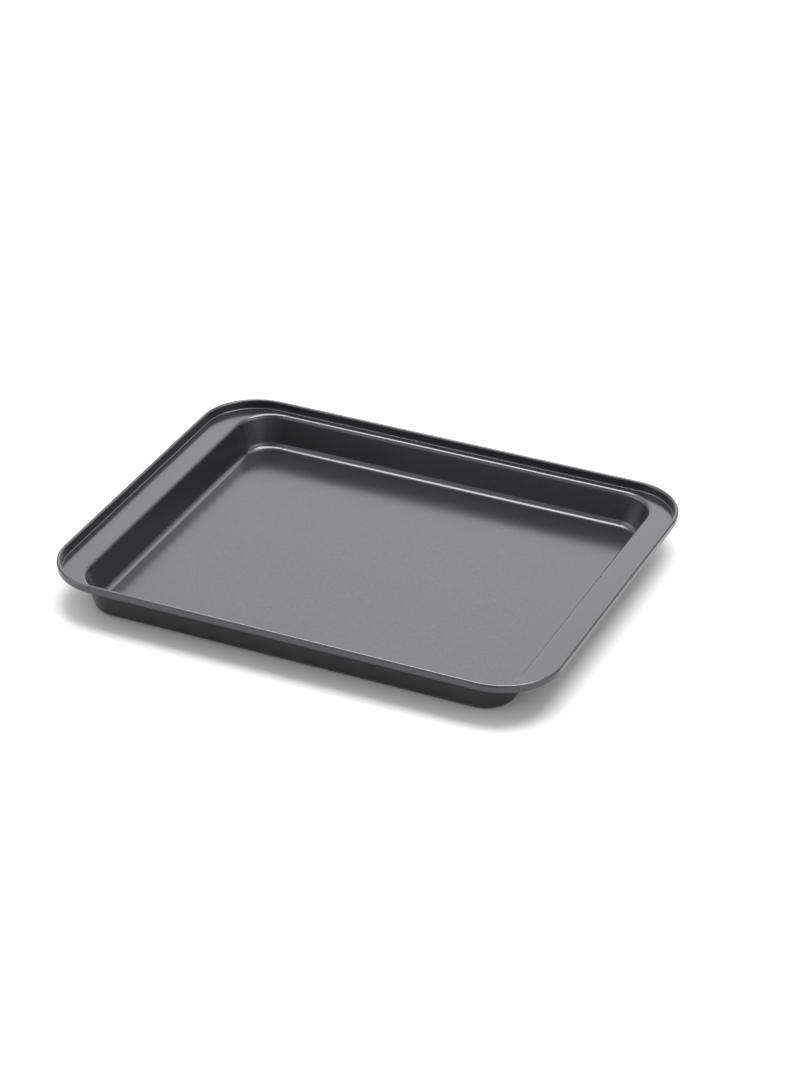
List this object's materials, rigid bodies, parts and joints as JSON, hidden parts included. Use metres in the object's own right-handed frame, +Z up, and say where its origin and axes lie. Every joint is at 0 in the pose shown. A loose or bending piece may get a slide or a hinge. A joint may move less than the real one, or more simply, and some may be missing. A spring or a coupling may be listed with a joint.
{
  "type": "toaster oven baking tray",
  "caption": "Shallow rectangular baking tray with rounded corners, sloping walls, a wide carrying flange at each end and a raised edge rolled over a wire.",
  "frame": {"origin": "on the surface the tray stands on, under the centre of the tray", "axes": "+Z up out of the well; +X along the long side, towards the right-hand wide flange; +Y across, towards the side where the wire's ends meet"},
  "size_m": [0.2414, 0.1906, 0.0203],
  "materials": {
    "nonstick_coating": "satin dark grey non-stick coating with a fine metallic fleck",
    "bright_steel_wire": "plain drawn steel wire"
  },
  "bodies": {
    "root": {"tray": "nonstick_coating", "rim_wire": "bright_steel_wire"}
  },
  "joints": []
}
